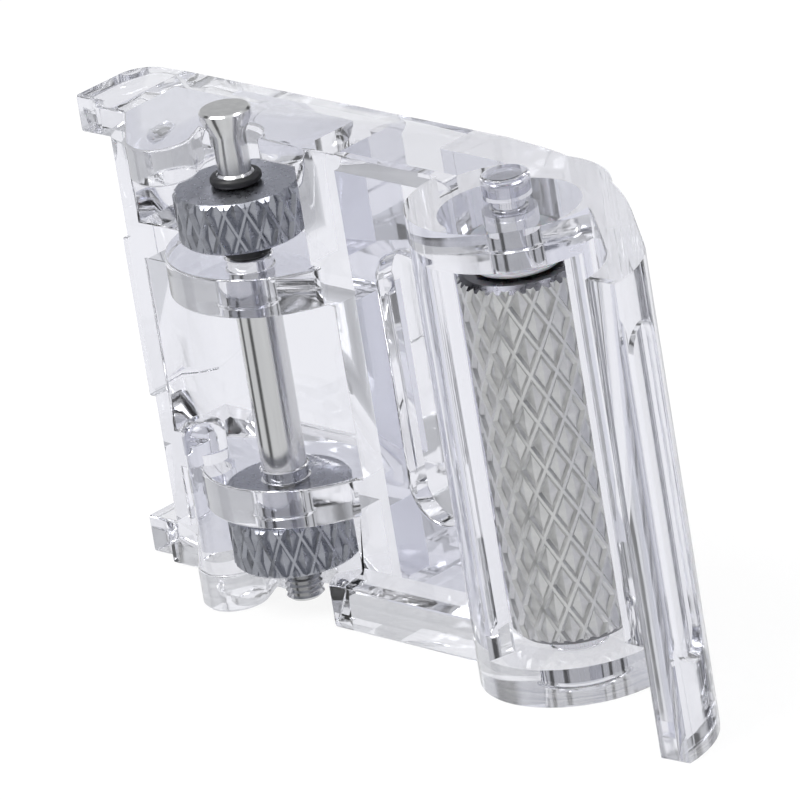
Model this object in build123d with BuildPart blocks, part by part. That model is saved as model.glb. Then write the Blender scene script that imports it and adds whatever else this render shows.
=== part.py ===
from build123d import *
from math import cos, radians, sin, sqrt
import os

# Thread serving tool: a clear moulded body that carries a spool spindle with two
# knurled drag nuts at one end and a knurled roller in an open cradle at the other.
# Millimetres, +Z up along both axes, origin under the middle of the overall box.

# Overall body
body_height = 65.0
origin_along = 52.5
origin_out = 15.915
wall = 3.0
front_face = 14.0

# Left end: string ears, end wall and front lobes
left_face = -0.4
ear_reach = 5.3
ear_depth = 12.3
ear_height = 5.2
ear_back_round = 4.5
ear_front_round = 2.2
pad_bottom = 23.0
pad_top = 45.6
pad_step = 1.0
lobe_round = 3.9
post_at = (13.8, 17.3)
post_radius = 2.9
post_top = 24.5
post_round = 2.0

# Spindle, its flanges and nuts
spindle_at = (25.4, 14.6)
flange_centre = (24.4, 8.7)
flange_radius = 14.6
flange_thickness = 5.4
lower_flange_base = 13.5
upper_flange_base = 43.1
sleeve_radius = 3.0
rod_radius = 2.5
neck_radius = 2.2
head_radius = 3.4
head_thickness = 1.2
head_flare = 2.4
spindle_bottom = 0.4
spindle_top = 68.9
running_clearance = 0.05
rotation_gap = 0.3
nut_radius = 8.5
nut_height = 7.0
upper_nut_base = 51.6
lower_nut_base = 6.2
nut_chamfer = 0.8
drag_ring_radius = 3.2
lock_ring_radius = 3.4
lock_ring_height = 1.2

# Pocket around the spindle
nut_bay_right = 36.0
spool_bay_right = 39.0
notch_radius = 4.4

# Plate between the pocket and the cradle
slot_at = 53.2
slot_width = 10.0
slot_bottom = 15.0
slot_top = 52.7
ledge_start = 34.0
ledge_depth = 20.0
ledge_height = 6.0
ledge_round = 0.9

# Roller and its cradle
roller_at = (75.8, 14.6)
cradle_radius = 13.3
cradle_bore = 9.3
cap_bottom = 5.2
cap_top = 59.6
window_angle = 103.6
roller_radius = 8.1
roller_base = 6.0
roller_top = 55.4
axle_radius = 3.6
pin_radius = 2.25
washer_radius = 5.6
washer_height = 0.5
shoulder_top = 59.4
axle_bottom = 0.2
pin_top = 67.0
hub_radius = 3.2
hub_top = 68.0
hub_round = 0.6

# Curved end wall
curve_start = 62.0
curve_radius = 52.0
curve_angle = 39.0
straight_length = 12.5
tip_radius = 17.0
tip_angle = 47.0
end_wall = 5.0
groove_angle = 30.0
groove_width = 7.0
groove_bottom = 12.0
groove_top = 58.0
groove_depth = 1.6


def at(along, out):
    """Plan point, from the left end wall and from the back plane."""
    return (along - origin_along, origin_out - out)


def level(height):
    """Plan plane at a height."""
    return Plane.XY.offset(height)


def outline(points):
    """Straight-sided plan face in the current sketch."""
    with BuildLine() as sides:
        Polyline(*[at(*point) for point in points], close=True)
    make_face(sides.edges())


def block(along, out, height, mode=Mode.ADD):
    """Box in the current part, from three (start, end) pairs."""
    with BuildSketch(level(height[0])) as plan:
        outline([(along[0], out[0]), (along[1], out[0]), (along[1], out[1]), (along[0], out[1])])
    extrude(plan.sketch, amount=height[1] - height[0], mode=mode)


def disc(plan, radius, height, mode=Mode.ADD):
    """Cylinder in the current part, from a (start, end) pair of heights."""
    with BuildSketch(level(height[0])) as circle:
        with Locations(plan):
            Circle(radius)
    extrude(circle.sketch, amount=height[1] - height[0], mode=mode)


def turned(plan, profile):
    """Turned shape in the current part, from (radius, height) corners."""
    with BuildSketch(Plane(origin=(*plan, 0), x_dir=(1, 0, 0), z_dir=(0, -1, 0))) as half:
        with BuildLine():
            Polyline(*profile, close=True)
        make_face()
    revolve(half.sketch, axis=Axis((*plan, 0), (0, 0, 1)))


spindle_plan = at(*spindle_at)
roller_plan = at(*roller_at)
full_height = (0, body_height)

# Clear body ----------------------------------------------------------------

ear_left = left_face - ear_reach
ear_right = left_face + wall
cradle_left = roller_at[0] - cradle_bore
lobe_outline = [
    (0, wall),
    (0, ear_depth),
    (5.5, 14.2),
    (14.0, 22.4),
    (17.5, 23.6),
    (20.6, 22.0),
    (21.6, 18.5),
    (19.4, 14.0),
    (19.4, wall),
]
ledge_outline = [
    (ledge_start + 3, front_face - 1),
    (ledge_start, front_face + 3),
    (ledge_start + 2, ledge_depth),
    (cradle_left, ledge_depth),
    (cradle_left, front_face - 1),
]
flange_reach = sqrt(flange_radius ** 2 - (front_face - flange_centre[1]) ** 2)
flange_corner = (flange_centre[0] + flange_reach, front_face)
flange_bases = [lower_flange_base, upper_flange_base]
nut_bays = [(0, lower_flange_base), (upper_flange_base + flange_thickness, body_height)]
end_walls = [(0, wall), (body_height - wall, body_height)]
ear_heights = [(0, ear_height), (body_height - ear_height, body_height)]

with BuildPart() as clear_body:
    # Back sheet of the spindle pocket, left end wall and its raised pad
    block((left_face, spool_bay_right + wall), (0, wall), full_height)
    block((left_face, ear_right), (0, ear_depth), full_height)
    block((left_face - pad_step, ear_right), (0, ear_depth), (pad_bottom, pad_top))

    # Right side of the pocket: closer at the nuts than at the spool
    block((spool_bay_right, spool_bay_right + wall), (0, front_face), full_height)
    for bay in nut_bays:
        block((nut_bay_right, spool_bay_right + wall), (0, front_face), bay)

    # Front plate, end walls with their lobes, and the bottom ledge
    block((spool_bay_right, cradle_left), (front_face - wall, front_face), full_height)
    for base, top in end_walls:
        block((left_face, curve_start), (0, front_face), (base, top))
        block((curve_start, cradle_left), (wall, front_face), (base, top))
    for base, top in ear_heights:
        with BuildSketch(level(base)):
            outline(lobe_outline)
            fillet(vertices().sort_by(Axis.Y)[:4], radius=lobe_round)
        extrude(amount=top - base)
    with BuildSketch():
        outline(ledge_outline)
        fillet(vertices().sort_by(Axis.X)[:2], radius=ledge_round)
    extrude(amount=ledge_height)

    # Ears that guide the string
    for base, top in ear_heights:
        with BuildSketch(level(base)):
            outline([(ear_right, 0), (ear_left, 0), (ear_left, ear_depth), (ear_right, ear_depth)])
            left_corners = vertices().group_by(Axis.X)[0]
            fillet(left_corners.sort_by(Axis.Y)[-1], radius=ear_back_round)
            fillet(left_corners.sort_by(Axis.Y)[0], radius=ear_front_round)
        extrude(amount=top - base)

    # Flanges that carry the spindle
    for base in flange_bases:
        with BuildSketch(level(base)):
            with Locations(at(*flange_centre)):
                Circle(flange_radius)
            outline([(left_face, 0), (left_face, ear_depth), (14, ear_depth), (14, 0)])
            outline(
                [
                    (14, 0),
                    (14, flange_centre[1]),
                    flange_corner,
                    (spool_bay_right, front_face),
                    (spool_bay_right, 0),
                ]
            )
            with Locations(at(flange_centre[0], 40)):
                Rectangle(80, 80, mode=Mode.INTERSECT)
        extrude(amount=flange_thickness)

    # Post that leads the thread off the spool
    disc(at(*post_at), post_radius, (0, post_top))
    post_rim = edges().filter_by(GeomType.CIRCLE).filter_by_position(
        Axis.Z, post_top - 0.01, post_top + 0.01
    )
    fillet(post_rim, radius=post_round)

    # Roller cradle and curved end wall
    disc(roller_plan, cradle_radius, full_height)
    with BuildSketch():
        with BuildLine():
            back = Line(at(curve_start - 8, 0), at(curve_start, 0))
            outer = JernArc(back @ 1, back % 1, curve_radius, -curve_angle)
            flat = PolarLine(outer @ 1, straight_length, direction=outer % 1)
            tip = JernArc(flat @ 1, flat % 1, tip_radius, -tip_angle)
            end = PolarLine(tip @ 1, end_wall, direction=(tip % 1).rotate(Axis.Z, -90))
            inner_tip = JernArc(end @ 1, -(tip % 1), tip_radius - end_wall, tip_angle)
            inner_flat = PolarLine(inner_tip @ 1, straight_length, direction=inner_tip % 1)
            inner = JernArc(inner_flat @ 1, inner_flat % 1, curve_radius - end_wall, curve_angle)
            Polyline(inner @ 1, at(curve_start - 8, end_wall), back @ 0)
        make_face()
    extrude(amount=body_height)
    heading = curve_angle + groove_angle
    groove_normal = (sin(radians(heading)), cos(radians(heading)), 0)
    groove_point = tip @ (groove_angle / tip_angle)
    middle = (groove_bottom + groove_top) / 2
    groove_plane = Plane(
        origin=(groove_point.X, groove_point.Y, middle),
        x_dir=(0, 0, 1),
        z_dir=groove_normal,
    )
    with BuildSketch(groove_plane.offset(1)):
        SlotOverall(groove_top - groove_bottom, groove_width)
    extrude(amount=-1 - groove_depth, mode=Mode.SUBTRACT)

    # Cradle bore, its window, and the axle holes
    disc(roller_plan, cradle_bore, (cap_bottom, cap_top), Mode.SUBTRACT)
    window_edge = radians(window_angle)
    reach = 2 * cradle_radius
    window_height = cap_top - cap_bottom
    with BuildSketch(level(cap_bottom)):
        outline(
            [
                roller_at,
                (roller_at[0] + cradle_bore - 1, roller_at[1]),
                (roller_at[0] + cradle_bore - 1, roller_at[1] + 1),
                (roller_at[0] + cradle_radius, roller_at[1] + 1),
                (roller_at[0] + cradle_radius, roller_at[1] + reach),
                (roller_at[0] + reach * cos(window_edge), roller_at[1] + reach * sin(window_edge)),
            ]
        )
    extrude(amount=window_height, mode=Mode.SUBTRACT)
    disc(roller_plan, axle_radius, (0, cap_bottom), Mode.SUBTRACT)
    disc(roller_plan, hub_radius, (body_height, hub_top))
    hub_rim = edges().filter_by_position(Axis.Z, hub_top, hub_top)
    fillet(hub_rim, radius=hub_round)
    disc(roller_plan, pin_radius, (cap_top, pin_top), Mode.SUBTRACT)

    # Spindle bores, and the notches that clear the spindle ends
    disc(spindle_plan, sleeve_radius + running_clearance, (8, body_height - 8), Mode.SUBTRACT)
    for base, top in ear_heights:
        disc(spindle_plan, notch_radius, (base, top), Mode.SUBTRACT)

    # Long slot through the front plate
    slot_plane = Plane(
        origin=(*at(slot_at, front_face), (slot_bottom + slot_top) / 2),
        x_dir=(0, 0, 1),
        z_dir=(0, -1, 0),
    )
    with BuildSketch(slot_plane):
        SlotOverall(slot_top - slot_bottom, slot_width)
    extrude(amount=-wall, mode=Mode.SUBTRACT)
clear_body.part.label = "clear_body"

# Spindle --------------------------------------------------------------------

sleeve_bottom = lower_nut_base + nut_height
sleeve_top = upper_flange_base + flange_thickness + rotation_gap
thread_top = upper_nut_base + nut_height + lock_ring_height + 0.4
head_base = spindle_top - head_thickness

with BuildPart() as spindle_rod:
    turned(
        spindle_plan,
        [
            (0, spindle_bottom),
            (rod_radius - 0.4, spindle_bottom),
            (rod_radius, spindle_bottom + 0.4),
            (rod_radius, thread_top - 0.3),
            (neck_radius, thread_top),
            (neck_radius, head_base - head_flare),
            (head_radius, head_base),
            (head_radius, spindle_top - 0.3),
            (head_radius - 0.3, spindle_top),
            (0, spindle_top),
        ],
    )
spindle_rod.part.label = "spindle_rod"

with BuildPart() as spindle_sleeve:
    disc(spindle_plan, sleeve_radius, (sleeve_bottom, sleeve_top))
    chamfer(edges().filter_by(GeomType.CIRCLE), length=0.3)
    disc(spindle_plan, rod_radius, (sleeve_bottom, sleeve_top), Mode.SUBTRACT)
spindle_sleeve.part.label = "spindle_sleeve"


def tube(plan, outer, inner, height, edge):
    """Ring with rounded outer rims, from a (start, end) pair of heights."""
    with BuildPart() as ring:
        disc(plan, outer, height)
        fillet(edges().filter_by(GeomType.CIRCLE), radius=edge)
        disc(plan, inner, height, Mode.SUBTRACT)
    return ring


drag_ring = tube(spindle_plan, drag_ring_radius, rod_radius, (sleeve_top, upper_nut_base), 0.5)
drag_ring.part.label = "drag_ring"

# The lock rings move with the nuts along the thread, just clear of the turning faces
ring_bore = rod_radius + running_clearance
upper_ring_base = upper_nut_base + nut_height + 2 * running_clearance
upper_ring_height = (upper_ring_base, upper_ring_base + lock_ring_height)
upper_lock_ring = tube(spindle_plan, lock_ring_radius, ring_bore, upper_ring_height, 0.5)
upper_lock_ring.part.label = "upper_lock_ring"

lower_ring_top = lower_nut_base - 2 * running_clearance
lower_ring_height = (lower_ring_top - lock_ring_height, lower_ring_top)
lower_lock_ring = tube(spindle_plan, lock_ring_radius, ring_bore, lower_ring_height, 0.5)
lower_lock_ring.part.label = "lower_lock_ring"


def knurled_nut(base):
    """Blank of a drag nut: chamfered disc with a threaded bore."""
    with BuildPart() as nut:
        disc(spindle_plan, nut_radius, (base, base + nut_height))
        chamfer(edges().filter_by(GeomType.CIRCLE), length=nut_chamfer)
        disc(spindle_plan, ring_bore, (base, base + nut_height), Mode.SUBTRACT)
    return nut


upper_nut = knurled_nut(upper_nut_base)
upper_nut.part.label = "upper_nut"
lower_nut = knurled_nut(lower_nut_base)
lower_nut.part.label = "lower_nut"

# Roller ---------------------------------------------------------------------

with BuildPart() as roller_sleeve:
    disc(roller_plan, roller_radius, (roller_base, roller_top))
    chamfer(edges().filter_by(GeomType.CIRCLE), length=0.6)
    bore_height = (roller_base, roller_top)
    disc(roller_plan, axle_radius + running_clearance, bore_height, Mode.SUBTRACT)
roller_sleeve.part.label = "roller_sleeve"

with BuildPart() as roller_axle:
    turned(
        roller_plan,
        [
            (0, axle_bottom),
            (axle_radius - 0.4, axle_bottom),
            (axle_radius, axle_bottom + 0.4),
            (axle_radius, shoulder_top),
            (pin_radius, shoulder_top),
            (pin_radius, pin_top - 0.3),
            (pin_radius - 0.3, pin_top),
            (0, pin_top),
        ],
    )
roller_axle.part.label = "roller_axle"

upper_washer_base = roller_top + rotation_gap
washer_heights = [
    (cap_bottom, cap_bottom + washer_height),
    (upper_washer_base, upper_washer_base + washer_height),
]
lower_washer = tube(roller_plan, washer_radius, axle_radius, washer_heights[0], 0.2)
lower_washer.part.label = "lower_washer"
upper_washer = tube(roller_plan, washer_radius, axle_radius, washer_heights[1], 0.2)
upper_washer.part.label = "upper_washer"

os.makedirs("parts", exist_ok=True)
pieces = [
    clear_body,
    spindle_rod,
    spindle_sleeve,
    drag_ring,
    upper_lock_ring,
    lower_lock_ring,
    upper_nut,
    lower_nut,
    roller_sleeve,
    roller_axle,
    lower_washer,
    upper_washer,
]
for piece in pieces:
    export_step(piece.part, f"parts/{piece.part.label}.step")
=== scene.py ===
import math

import bmesh
import bpy
from mathutils import Matrix, Vector


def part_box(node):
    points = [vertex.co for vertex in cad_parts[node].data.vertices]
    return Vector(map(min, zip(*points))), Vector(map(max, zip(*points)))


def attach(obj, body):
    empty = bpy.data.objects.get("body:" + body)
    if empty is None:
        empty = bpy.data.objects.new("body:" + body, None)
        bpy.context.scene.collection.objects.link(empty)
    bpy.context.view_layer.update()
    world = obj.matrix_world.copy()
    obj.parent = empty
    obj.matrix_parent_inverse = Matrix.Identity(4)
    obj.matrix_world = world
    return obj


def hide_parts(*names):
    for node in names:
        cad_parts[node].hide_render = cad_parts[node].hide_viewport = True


# Looks for the clear thread serving tool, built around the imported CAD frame.
# Everything is in metres; lengths given in millimetres are multiplied by MM.

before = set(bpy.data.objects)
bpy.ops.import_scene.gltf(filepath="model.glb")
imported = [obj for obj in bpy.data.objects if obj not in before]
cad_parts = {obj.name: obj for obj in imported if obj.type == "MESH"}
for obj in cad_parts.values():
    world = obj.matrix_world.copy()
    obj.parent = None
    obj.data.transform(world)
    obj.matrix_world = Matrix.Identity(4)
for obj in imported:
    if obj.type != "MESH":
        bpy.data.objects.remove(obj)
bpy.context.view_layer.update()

MM = 0.001

# Clear body
EDGE_ROUND = 0.35 * MM
ROUND_STEPS = 3
WELD = 1e-6
ON_PLANE = 1e-7
FLAT_ANGLE = math.radians(0.3)
SHARP_ANGLE = math.radians(30)
NARROW_CORNER = math.radians(25)
FLAT_WEIGHT = 80

# Turned parts
LATHE_CREASE = 32
BLANK_SIDES = 128
ROD_SIDES = 96
BORE_CHAMFER = 0.4 * MM
FACE_GAP = 0.06 * MM
NUT_CHAMFER = 0.5 * MM
THREAD_RADIUS = 2.5 * MM
THREAD_DEPTH = 0.4 * MM
THREAD_PITCH = 0.8 * MM
ROD_CHAMFER = 0.45 * MM
NUT_BORE = THREAD_RADIUS + 0.05 * MM
NECK_RADIUS = 2.2 * MM
NECK_TAPER = 0.3 * MM
HEAD_FLARE = 2.4 * MM
HEAD_THICKNESS = 1.2 * MM
HEAD_EDGE = 0.25 * MM
AXLE_CHAMFER = 0.4 * MM
PIN_RADIUS = 2.25 * MM
PIN_BOTTOM = 59.4 * MM
PIN_DOME = 0.3 * MM
PIN_STEPS = 8
ROLLER_BORE = 3.65 * MM
ROLLER_CHAMFER = 0.9 * MM
END_FACE_SLOPE = 0.6

# Knurls: a net of ridges on two helix families
KNURL_CREASE = 24
KNURL_OVERRUN = 1 * MM
NUT_KNURL = {
    "starts": 19,
    "helix": math.radians(23),
    "ridge": 0.16 * MM,
    "wall": 0.34 * MM,
    "depth": 0.5 * MM,
    "crown": 0.38 * MM,
}
ROLLER_KNURL = {
    "starts": 15,
    "helix": math.radians(28),
    "ridge": 0.18 * MM,
    "wall": 0.36 * MM,
    "depth": 0.45 * MM,
    "crown": 0.3 * MM,
}

# Noise texture values mostly lie between these
NOISE_LOW = 0.3
NOISE_HIGH = 0.7

# Studio
FLOOR_RADIUS = 3
FLOOR_GREY = 0.1
FLOOR_GLOW = 0.88
SKY_TINT = (0.98, 0.99, 1.0)
# Brightness by height, from straight down at 0 to straight up at 1
SKY_LEVELS = ((0.0, 0.85), (0.5, 0.85), (0.56, 0.66), (0.75, 0.55), (0.9, 0.8), (1.0, 1.0))

# Dark upright bands in the studio: degrees round from +X, and half widths as parts of a turn
DARK_BANDS = (-155, -100, 20, 95)
BAND_LEVEL = 0.12
BAND_CORE = 0.015
BAND_EDGE = 0.035

LIGHT_DISTANCE = 1.0
LIGHT_AIM = Vector((0, 0, 0.03))

# Camera
VIEW_AZIMUTH = math.radians(48.0)
VIEW_ELEVATION = math.radians(21.5)
VIEW_ROLL = math.radians(9.4)
VIEW_DISTANCE = 1.7
VIEW_WIDTH = 0.10256
VIEW_CENTRE = Vector((-0.0025, 0.0039, 0.032))
VIEW_OFFSET = Vector((-0.002145, -0.00068))
SENSOR_WIDTH = 36
CLIP_END = 50
LIGHT_BOUNCES = 24
GLOSSY_BOUNCES = 12


# Mesh helpers ---------------------------------------------------------------


def mesh_piece(name, mesh, material, body, node_name):
    """A finished mesh as a piece that stands for a CAD node and rides on a body."""
    piece = loose_object(name, mesh)
    mesh.materials.clear()
    mesh.materials.append(material)
    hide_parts(node_name)
    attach(piece, body)
    return piece


def applied(piece):
    """The piece's mesh with its modifiers applied, and the piece itself removed."""
    graph = bpy.context.evaluated_depsgraph_get()
    mesh = bpy.data.meshes.new_from_object(piece.evaluated_get(graph))
    bpy.data.objects.remove(piece)
    return mesh


def loose_object(name, mesh):
    """A new object in the scene that holds the mesh."""
    made = bpy.data.objects.new(name, mesh)
    bpy.context.collection.objects.link(made)
    return made


def crease(mesh, degrees):
    """Smooth shading, broken where faces meet at more than this angle."""
    mesh.shade_smooth()
    mesh.set_sharp_from_angle(angle=math.radians(degrees))


def lathe(name, centre, profile, segments):
    """Closed turned mesh from (radius, height) corners, both ends on the axis or joined up."""
    bm = bmesh.new()
    rings = []
    for radius, height in profile:
        if radius == 0:
            rings.append([bm.verts.new((centre.x, centre.y, height))])
            continue
        ring = []
        for step in range(segments):
            turn = math.tau * step / segments
            x = centre.x + radius * math.cos(turn)
            y = centre.y + radius * math.sin(turn)
            ring.append(bm.verts.new((x, y, height)))
        rings.append(ring)
    if profile[0][0] > 0:
        rings.append(rings[0])
    for lower, upper in zip(rings, rings[1:]):
        for step in range(segments):
            after = (step + 1) % segments
            corners = [
                lower[step % len(lower)],
                lower[after % len(lower)],
                upper[after % len(upper)],
                upper[step % len(upper)],
            ]
            unique = [v for i, v in enumerate(corners) if v not in corners[:i]]
            bm.faces.new(unique)
    bmesh.ops.recalc_face_normals(bm, faces=bm.faces)
    mesh = bpy.data.meshes.new(name)
    bm.to_mesh(mesh)
    bm.free()
    crease(mesh, LATHE_CREASE)
    return mesh


# Knurling -------------------------------------------------------------------


def knurl_depth(distance, half_cell, ridge, wall, depth, crown):
    """Depth below the ridge tops, at a distance from the nearest ridge line."""
    if distance <= ridge:
        return 0.0
    if distance <= ridge + wall:
        return depth * (distance - ridge) / wall
    across = (distance - ridge - wall) / (half_cell - ridge - wall)
    return depth - crown * across


def knurled_drum(name, centre, radius, low, high, starts, helix, ridge, wall, depth, crown):
    """Closed cylinder with a net of raised ridges on two helix families."""
    pitch = math.tau * radius / starts
    height = pitch / math.tan(helix)
    half_cell = pitch * math.cos(helix) / 2
    foot = ridge + wall
    marks = [0, ridge, ridge + wall / 2, foot, (foot + half_cell) / 2, half_cell]
    steps = [mark / half_cell / 2 for mark in marks]
    steps += [1 - step for step in reversed(steps[1:-1])]
    count = len(steps)
    rows_up = math.ceil((high - low) / height) + 1
    bm = bmesh.new()
    found = {}

    def corner(cell_a, cell_b):
        """Vertex at fine grid indices along the two families, wrapped round the drum."""
        turns = (cell_a + cell_b) // (2 * starts * count)
        key = (cell_a - turns * starts * count, cell_b - turns * starts * count)
        if key not in found:
            whole_a, part_a = divmod(key[0], count)
            whole_b, part_b = divmod(key[1], count)
            a = whole_a + steps[part_a]
            b = whole_b + steps[part_b]
            nearest = min(steps[part_a], 1 - steps[part_a], steps[part_b], 1 - steps[part_b])
            drop = knurl_depth(nearest * 2 * half_cell, half_cell, ridge, wall, depth, crown)
            turn = math.pi * (a + b) / starts
            x = centre.x + (radius - drop) * math.cos(turn)
            y = centre.y + (radius - drop) * math.sin(turn)
            found[key] = bm.verts.new((x, y, low + height * (a - b) / 2))
        return found[key]

    for around in range(starts * 2):
        for row in range(-2, 2 * rows_up + 1):
            if (around + row) % 2:
                continue
            first_a = (around + row) // 2 * count
            first_b = (around - row) // 2 * count
            for i in range(count):
                for j in range(count):
                    a, b = first_a + i, first_b + j
                    near, right = corner(a, b), corner(a + 1, b)
                    far, left = corner(a + 1, b + 1), corner(a, b + 1)
                    mirrored = (i < count / 2) != (j < count / 2)
                    if mirrored:
                        bm.faces.new((near, right, left))
                        bm.faces.new((right, far, left))
                    else:
                        bm.faces.new((near, right, far))
                        bm.faces.new((near, far, left))
    for cut, side in ((low, -1), (high, 1)):
        whole = bm.verts[:] + bm.edges[:] + bm.faces[:]
        bmesh.ops.bisect_plane(
            bm, geom=whole, plane_co=(0, 0, cut), plane_no=(0, 0, side), clear_outer=True
        )
        rim = [e for e in bm.edges if e.is_boundary and abs(e.verts[0].co.z - cut) < ON_PLANE]
        bmesh.ops.holes_fill(bm, edges=rim, sides=0)
    bmesh.ops.recalc_face_normals(bm, faces=bm.faces)
    mesh = bpy.data.meshes.new(name)
    bm.to_mesh(mesh)
    bm.free()
    return mesh


def common(name, first, second):
    """Mesh that two closed meshes have in common."""
    base = loose_object(name, first)
    tool = loose_object(name + "_tool", second)
    cut = base.modifiers.new("common", "BOOLEAN")
    cut.operation = "INTERSECT"
    cut.solver = "EXACT"
    cut.object = tool
    mesh = applied(base)
    bpy.data.objects.remove(tool)
    mesh.name = name
    crease(mesh, KNURL_CREASE)
    return mesh


def knurled_ring(name, centre, bore, radius, low, high, chamfer, knurl):
    """Ring with a knurled outside between chamfered rims."""
    profile = [
        (bore, low + BORE_CHAMFER),
        (bore + BORE_CHAMFER, low),
        (radius - chamfer, low),
        (radius, low + chamfer),
        (radius, high - chamfer),
        (radius - chamfer, high),
        (bore + BORE_CHAMFER, high),
        (bore, high - BORE_CHAMFER),
    ]
    blank = lathe(name + "_blank", centre, profile, BLANK_SIDES)
    drum_low = low - KNURL_OVERRUN
    drum_high = high + KNURL_OVERRUN
    drum = knurled_drum(name + "_drum", centre, radius, drum_low, drum_high, **knurl)
    return common(name, drum, blank)


# Materials ------------------------------------------------------------------


def new_material(name):
    """A node material, its tree and its shader."""
    material = bpy.data.materials.new(name)
    material.use_nodes = True
    tree = material.node_tree
    return material, tree, tree.nodes["Principled BSDF"]


def node(tree, kind, **values):
    """A new node with the named inputs set."""
    made = tree.nodes.new(kind)
    for key, value in values.items():
        made.inputs[key].default_value = value
    return made


def bump(tree, shader, height, strength, distance):
    """Drives the shader's normal from a height output."""
    made = node(tree, "ShaderNodeBump", Strength=strength, Distance=distance)
    tree.links.new(height, made.inputs["Height"])
    tree.links.new(made.outputs["Normal"], shader.inputs["Normal"])


def object_noise(tree, scale, detail, stretch=(1, 1, 1)):
    """Noise output over the object, stretched along its axes."""
    place = tree.nodes.new("ShaderNodeTexCoord")
    mapping = node(tree, "ShaderNodeMapping", Scale=stretch)
    noise = node(tree, "ShaderNodeTexNoise", Scale=scale, Detail=detail)
    tree.links.new(place.outputs["Object"], mapping.inputs["Vector"])
    tree.links.new(mapping.outputs["Vector"], noise.inputs["Vector"])
    return noise.outputs["Fac"]


def between(tree, value, low, high, socket):
    """Sends a noise value to a socket as low to high."""
    spread = tree.nodes.new("ShaderNodeMapRange")
    spread.inputs["From Min"].default_value = NOISE_LOW
    spread.inputs["From Max"].default_value = NOISE_HIGH
    spread.inputs["To Min"].default_value = low
    spread.inputs["To Max"].default_value = high
    tree.links.new(value, spread.inputs["Value"])
    tree.links.new(spread.outputs["Result"], socket)


def clear_plastic():
    """Clear polycarbonate with a faint lavender tint and a slightly uneven surface."""
    material, tree, shader = new_material("clear_plastic")
    shader.inputs["Base Color"].default_value = (0.80, 0.805, 0.855, 1)
    shader.inputs["Transmission Weight"].default_value = 1.0
    shader.inputs["IOR"].default_value = 1.5
    between(tree, object_noise(tree, 220, 3), 0.015, 0.05, shader.inputs["Roughness"])
    bump(tree, shader, object_noise(tree, 90, 2), 0.05, 0.4 * MM)
    return material


def metal(name, dark, light, roughness, grain, stretch=(1, 1, 1)):
    """Metal whose colour and roughness vary a little with its grain."""
    material, tree, shader = new_material(name)
    shader.inputs["Metallic"].default_value = 1.0
    pattern = object_noise(tree, grain, 4, stretch)
    ramp = tree.nodes.new("ShaderNodeValToRGB")
    ramp.color_ramp.elements[0].position = NOISE_LOW
    ramp.color_ramp.elements[0].color = (*dark, 1)
    ramp.color_ramp.elements[1].position = NOISE_HIGH
    ramp.color_ramp.elements[1].color = (*light, 1)
    tree.links.new(pattern, ramp.inputs["Fac"])
    tree.links.new(ramp.outputs["Color"], shader.inputs["Base Color"])
    between(tree, pattern, roughness * 0.8, roughness * 1.2, shader.inputs["Roughness"])
    bump(tree, shader, pattern, 0.15, 0.05 * MM)
    return material


def nylon():
    """Slightly translucent off-white plastic."""
    material, tree, shader = new_material("white_nylon")
    shader.inputs["Base Color"].default_value = (0.62, 0.63, 0.65, 1)
    shader.inputs["Subsurface Weight"].default_value = 0.3
    shader.inputs["Subsurface Scale"].default_value = 0.5 * MM
    between(tree, object_noise(tree, 900, 2), 0.3, 0.45, shader.inputs["Roughness"])
    bump(tree, shader, object_noise(tree, 900, 2), 0.1, 0.05 * MM)
    return material


def rubber_and_painted_shade():
    """Matte black rubber with a fine grain; on the rings its black is partly painted shade for dark gaps
    round the spindle.
    """
    material, tree, shader = new_material("black_rubber")
    shader.inputs["Base Color"].default_value = (0.012, 0.012, 0.014, 1)
    between(tree, object_noise(tree, 1500, 2), 0.35, 0.55, shader.inputs["Roughness"])
    bump(tree, shader, object_noise(tree, 1800, 2), 0.1, 0.05 * MM)
    return material


PLASTIC = clear_plastic()
SPINDLE_STEEL = metal("spindle_steel", (0.62, 0.62, 0.625), (0.70, 0.70, 0.705), 0.18, 900, (1, 1, 0.05))
NUT_STEEL = metal("nut_steel", (0.34, 0.35, 0.39), (0.42, 0.43, 0.47), 0.3, 1200)
ROLLER_STEEL = metal("roller_steel", (0.62, 0.62, 0.62), (0.72, 0.72, 0.715), 0.36, 1200)
# Near-black steel used as painted shade on the roller's end faces and chamfers.
PAINTED_SHADE_STEEL = metal("painted_shade_end_steel", (0.10, 0.10, 0.11), (0.16, 0.16, 0.17), 0.3, 1200)
CHROME = metal("axle_chrome", (0.74, 0.74, 0.76), (0.80, 0.80, 0.82), 0.06, 500)
NYLON = nylon()
RUBBER_AND_PAINTED_SHADE = rubber_and_painted_shade()


# Pieces ---------------------------------------------------------------------


def size_of(node_name):
    """Middle point, outer radius, and lowest and highest z of a round CAD node."""
    low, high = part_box(node_name)
    middle = (low + high) / 2
    return middle, (high.x - low.x) / 2, low.z, high.z


def can_round(edge):
    """True for an outside edge whose ends aren't at the tip of a narrow wedge of a face."""
    if not edge.is_manifold or edge.calc_face_angle_signed(0) < SHARP_ANGLE:
        return False
    loops = [loop for end in edge.verts for loop in end.link_loops]
    return min(loop.calc_angle() for loop in loops) > NARROW_CORNER


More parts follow.
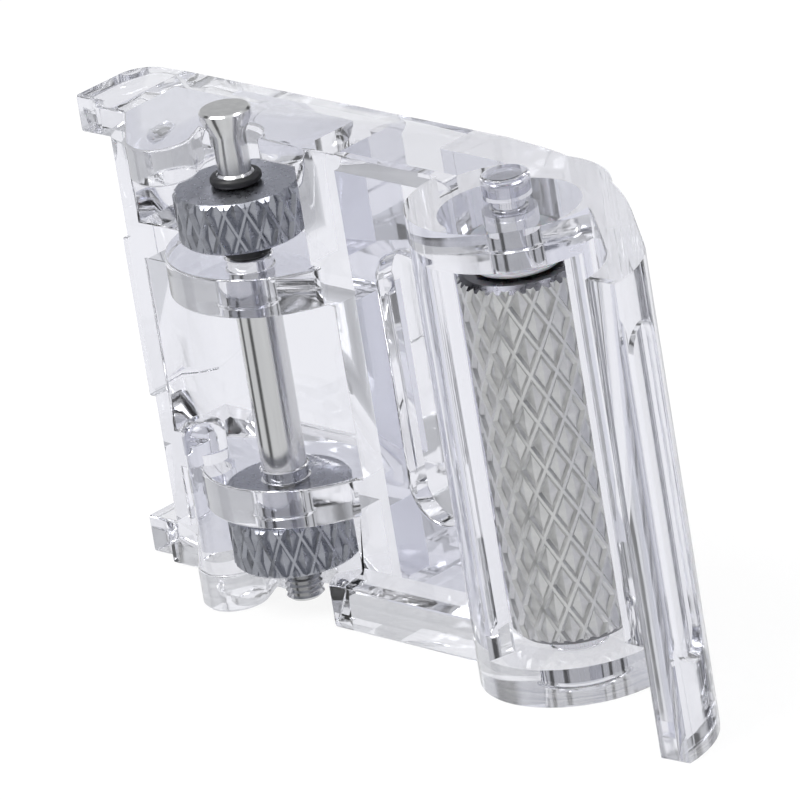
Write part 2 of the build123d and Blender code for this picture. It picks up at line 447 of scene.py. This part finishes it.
def body_shell():
    """The clear body, with its moulded outside edges rounded."""
    bm = bmesh.new()
    bm.from_mesh(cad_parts["clear_body"].data)
    bmesh.ops.remove_doubles(bm, verts=bm.verts, dist=WELD)
    bmesh.ops.dissolve_limit(bm, angle_limit=FLAT_ANGLE, verts=bm.verts, edges=bm.edges)
    weight = bm.edges.layers.float.new("bevel_weight_edge")
    for edge in bm.edges:
        rounded_off = can_round(edge)
        edge[weight] = float(rounded_off)
        edge.smooth = rounded_off or edge.calc_face_angle(0) < SHARP_ANGLE / 3
    for face in bm.faces:
        face.smooth = True
    mesh = bpy.data.meshes.new("body_shell")
    bm.to_mesh(mesh)
    bm.free()
    rough = loose_object("body_rough", mesh)
    round_off = rough.modifiers.new("round", "BEVEL")
    round_off.width = EDGE_ROUND
    round_off.segments = ROUND_STEPS
    round_off.limit_method = "WEIGHT"
    round_off.use_clamp_overlap = False
    weigh = rough.modifiers.new("weigh", "WEIGHTED_NORMAL")
    weigh.weight = FLAT_WEIGHT
    weigh.keep_sharp = True
    finished = applied(rough)
    finished.name = "body_shell"
    piece = mesh_piece("body_shell", finished, PLASTIC, "frame", "clear_body")


def thumb_nut(node_name):
    """Drag nut with a diamond knurl, a hair thinner than its CAD node at each face."""
    centre, radius, low, high = size_of(node_name)
    low += FACE_GAP
    high -= FACE_GAP
    name = node_name + "_knurled"
    mesh = knurled_ring(name, centre, NUT_BORE, radius, low, high, NUT_CHAMFER, NUT_KNURL)
    piece = mesh_piece(name, mesh, NUT_STEEL, node_name, node_name)


def roller():
    """Knurled roller whose end faces and chamfers get near-black steel as painted shade for the dark
    bands at its ends.
    """
    centre, radius, low, high = size_of("roller_sleeve")
    name = "roller_knurled"
    mesh = knurled_ring(
        name, centre, ROLLER_BORE, radius, low, high, ROLLER_CHAMFER, ROLLER_KNURL
    )
    piece = mesh_piece(name, mesh, ROLLER_STEEL, "roller", "roller_sleeve")
    mesh.materials.append(PAINTED_SHADE_STEEL)
    # Faces that point up or down take the near-black painted shade steel.
    for face in mesh.polygons:
        face.material_index = int(abs(face.normal.z) > END_FACE_SLOPE)


def spindle_rod():
    """Rod with a flared head, a plain neck and thread grooves below it."""
    centre, radius, low, high = size_of("spindle_rod")
    neck_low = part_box("upper_lock_ring")[1].z + NECK_TAPER
    height = low + ROD_CHAMFER
    profile = [(0, low), (THREAD_RADIUS - ROD_CHAMFER, low)]
    while height < neck_low - THREAD_PITCH:
        profile.append((THREAD_RADIUS, height))
        profile.append((THREAD_RADIUS - THREAD_DEPTH, height + THREAD_PITCH / 2))
        height += THREAD_PITCH
    profile += [
        (THREAD_RADIUS, neck_low - NECK_TAPER),
        (NECK_RADIUS, neck_low),
        (NECK_RADIUS, high - HEAD_THICKNESS - HEAD_FLARE),
        (radius, high - HEAD_THICKNESS),
        (radius, high - HEAD_EDGE),
        (radius - HEAD_EDGE, high),
        (0, high),
    ]
    mesh = lathe("spindle_rod_turned", centre, profile, ROD_SIDES)
    piece = mesh_piece("spindle_rod_turned", mesh, SPINDLE_STEEL, "spindle", "spindle_rod")


def axle():
    """Roller axle with a slightly domed pin end."""
    centre, radius, low, high = size_of("roller_axle")
    profile = [
        (0, low),
        (radius - AXLE_CHAMFER, low),
        (radius, low + AXLE_CHAMFER),
        (radius, PIN_BOTTOM),
        (PIN_RADIUS, PIN_BOTTOM),
    ]
    for step in range(PIN_STEPS + 1):
        inward = 1 - step / PIN_STEPS
        profile.append((PIN_RADIUS * inward, high - PIN_DOME * inward ** 2))
    mesh = lathe("roller_axle_turned", centre, profile, ROD_SIDES)
    piece = mesh_piece("roller_axle_turned", mesh, CHROME, "frame", "roller_axle")


# The drag and lock rings are black rubber, and their black is partly painted shade for dark gaps round
# the spindle.
CARRIED_OVER = {
    "spindle_sleeve": SPINDLE_STEEL,
    "drag_ring": RUBBER_AND_PAINTED_SHADE,
    "upper_lock_ring": RUBBER_AND_PAINTED_SHADE,
    "lower_lock_ring": RUBBER_AND_PAINTED_SHADE,
    "lower_washer": NYLON,
    "upper_washer": NYLON,
}
for carried, material in CARRIED_OVER.items():
    cad_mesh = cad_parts[carried].data
    cad_mesh.materials.clear()
    cad_mesh.materials.append(material)

body_shell()
thumb_nut("upper_nut")
thumb_nut("lower_nut")
roller()
spindle_rod()
axle()


# Stage, lights and camera ---------------------------------------------------


def floor():
    """Plain floor, bright enough to read as white."""
    bpy.ops.mesh.primitive_circle_add(vertices=64, radius=FLOOR_RADIUS, fill_type="NGON")
    made = bpy.context.object
    made.name = "floor"
    material, _, shader = new_material("floor")
    shader.inputs["Base Color"].default_value = (FLOOR_GREY, FLOOR_GREY, FLOOR_GREY, 1)
    shader.inputs["Roughness"].default_value = 0.9
    shader.inputs["Emission Color"].default_value = (1, 1, 1, 1)
    shader.inputs["Emission Strength"].default_value = FLOOR_GLOW
    made.data.materials.append(material)
    made.visible_glossy = False


def direction(azimuth, elevation):
    """Unit vector towards an azimuth and elevation; azimuth 0 is the front, -Y."""
    flat = math.cos(elevation)
    return Vector((math.sin(azimuth) * flat, -math.cos(azimuth) * flat, math.sin(elevation)))


def area_light(name, azimuth, elevation, size, power):
    """Soft rectangular light, from a direction in degrees, aimed at the tool."""
    light = bpy.data.lights.new(name, "AREA")
    light.shape = "RECTANGLE"
    light.size, light.size_y = size
    light.energy = power
    made = bpy.data.objects.new(name, light)
    back = direction(math.radians(azimuth), math.radians(elevation))
    made.location = back * LIGHT_DISTANCE + LIGHT_AIM
    made.rotation_euler = back.to_track_quat("Z", "Y").to_euler()
    bpy.context.collection.objects.link(made)


def grey_ramp(tree, stops, tint):
    """Colour ramp from (position, level) stops, tinted."""
    ramp = tree.nodes.new("ShaderNodeValToRGB")
    elements = ramp.color_ramp.elements
    while len(elements) < len(stops):
        elements.new(0.5)
    for element, (position, level) in zip(elements, stops):
        element.position = position
        element.color = (*[level * part for part in tint], 1)
    return ramp


def sky():
    """Pale studio with a greyer ring above the horizon and a few darker upright bands."""
    world = bpy.data.worlds.new("studio")
    bpy.context.scene.world = world
    world.use_nodes = True
    tree = world.node_tree
    background = tree.nodes["Background"]
    place = tree.nodes.new("ShaderNodeTexCoord")
    split = tree.nodes.new("ShaderNodeSeparateXYZ")
    tree.links.new(place.outputs["Generated"], split.inputs["Vector"])

    height = tree.nodes.new("ShaderNodeMapRange")
    height.inputs["From Min"].default_value = -1
    height.inputs["From Max"].default_value = 1
    tree.links.new(split.outputs["Z"], height.inputs["Value"])
    levels = grey_ramp(tree, SKY_LEVELS, SKY_TINT)
    tree.links.new(height.outputs["Result"], levels.inputs["Fac"])

    around = tree.nodes.new("ShaderNodeMath")
    around.operation = "ARCTAN2"
    tree.links.new(split.outputs["Y"], around.inputs[0])
    tree.links.new(split.outputs["X"], around.inputs[1])
    turn = tree.nodes.new("ShaderNodeMapRange")
    turn.inputs["From Min"].default_value = -math.pi
    turn.inputs["From Max"].default_value = math.pi
    tree.links.new(around.outputs[0], turn.inputs["Value"])
    stops = [(0.0, 1.0)]
    for degrees in DARK_BANDS:
        middle = (degrees + 180) / 360
        stops.append((middle - BAND_EDGE, 1.0))
        stops.append((middle - BAND_CORE, BAND_LEVEL))
        stops.append((middle + BAND_CORE, BAND_LEVEL))
        stops.append((middle + BAND_EDGE, 1.0))
    stops.append((1.0, 1.0))
    bands = grey_ramp(tree, stops, (1, 1, 1))
    bands.color_ramp.interpolation = "EASE"
    tree.links.new(turn.outputs["Result"], bands.inputs["Fac"])

    mix = tree.nodes.new("ShaderNodeMix")
    mix.data_type = "RGBA"
    mix.blend_type = "MULTIPLY"
    mix.inputs["Factor"].default_value = 1.0
    tree.links.new(levels.outputs["Color"], mix.inputs["A"])
    tree.links.new(bands.outputs["Color"], mix.inputs["B"])
    tree.links.new(mix.outputs["Result"], background.inputs["Color"])


def camera():
    """Camera at the reference view, rolled a little."""
    right = Vector((math.cos(VIEW_AZIMUTH), math.sin(VIEW_AZIMUTH), 0))
    back = direction(VIEW_AZIMUTH, VIEW_ELEVATION)
    up = back.cross(right)
    rolled_right = right * math.cos(VIEW_ROLL) - up * math.sin(VIEW_ROLL)
    rolled_up = right * math.sin(VIEW_ROLL) + up * math.cos(VIEW_ROLL)
    data = bpy.data.cameras.new("camera")
    data.sensor_width = SENSOR_WIDTH
    data.lens = SENSOR_WIDTH * VIEW_DISTANCE / VIEW_WIDTH
    data.clip_end = CLIP_END
    made = bpy.data.objects.new("camera", data)
    turn = Matrix((rolled_right, rolled_up, back)).transposed().to_4x4()
    aim = VIEW_CENTRE + rolled_right * VIEW_OFFSET.x + rolled_up * VIEW_OFFSET.y
    made.matrix_world = Matrix.Translation(aim + back * VIEW_DISTANCE) @ turn
    bpy.context.collection.objects.link(made)
    bpy.context.scene.camera = made


floor()
sky()
area_light("key", -20, 60, (0.6, 0.6), 8)
area_light("side", 120, 52, (0.3, 0.4), 3)
camera()
scene = bpy.context.scene
scene.view_settings.view_transform = "Standard"
scene.cycles.max_bounces = LIGHT_BOUNCES
scene.cycles.transmission_bounces = LIGHT_BOUNCES
scene.cycles.glossy_bounces = GLOSSY_BOUNCES
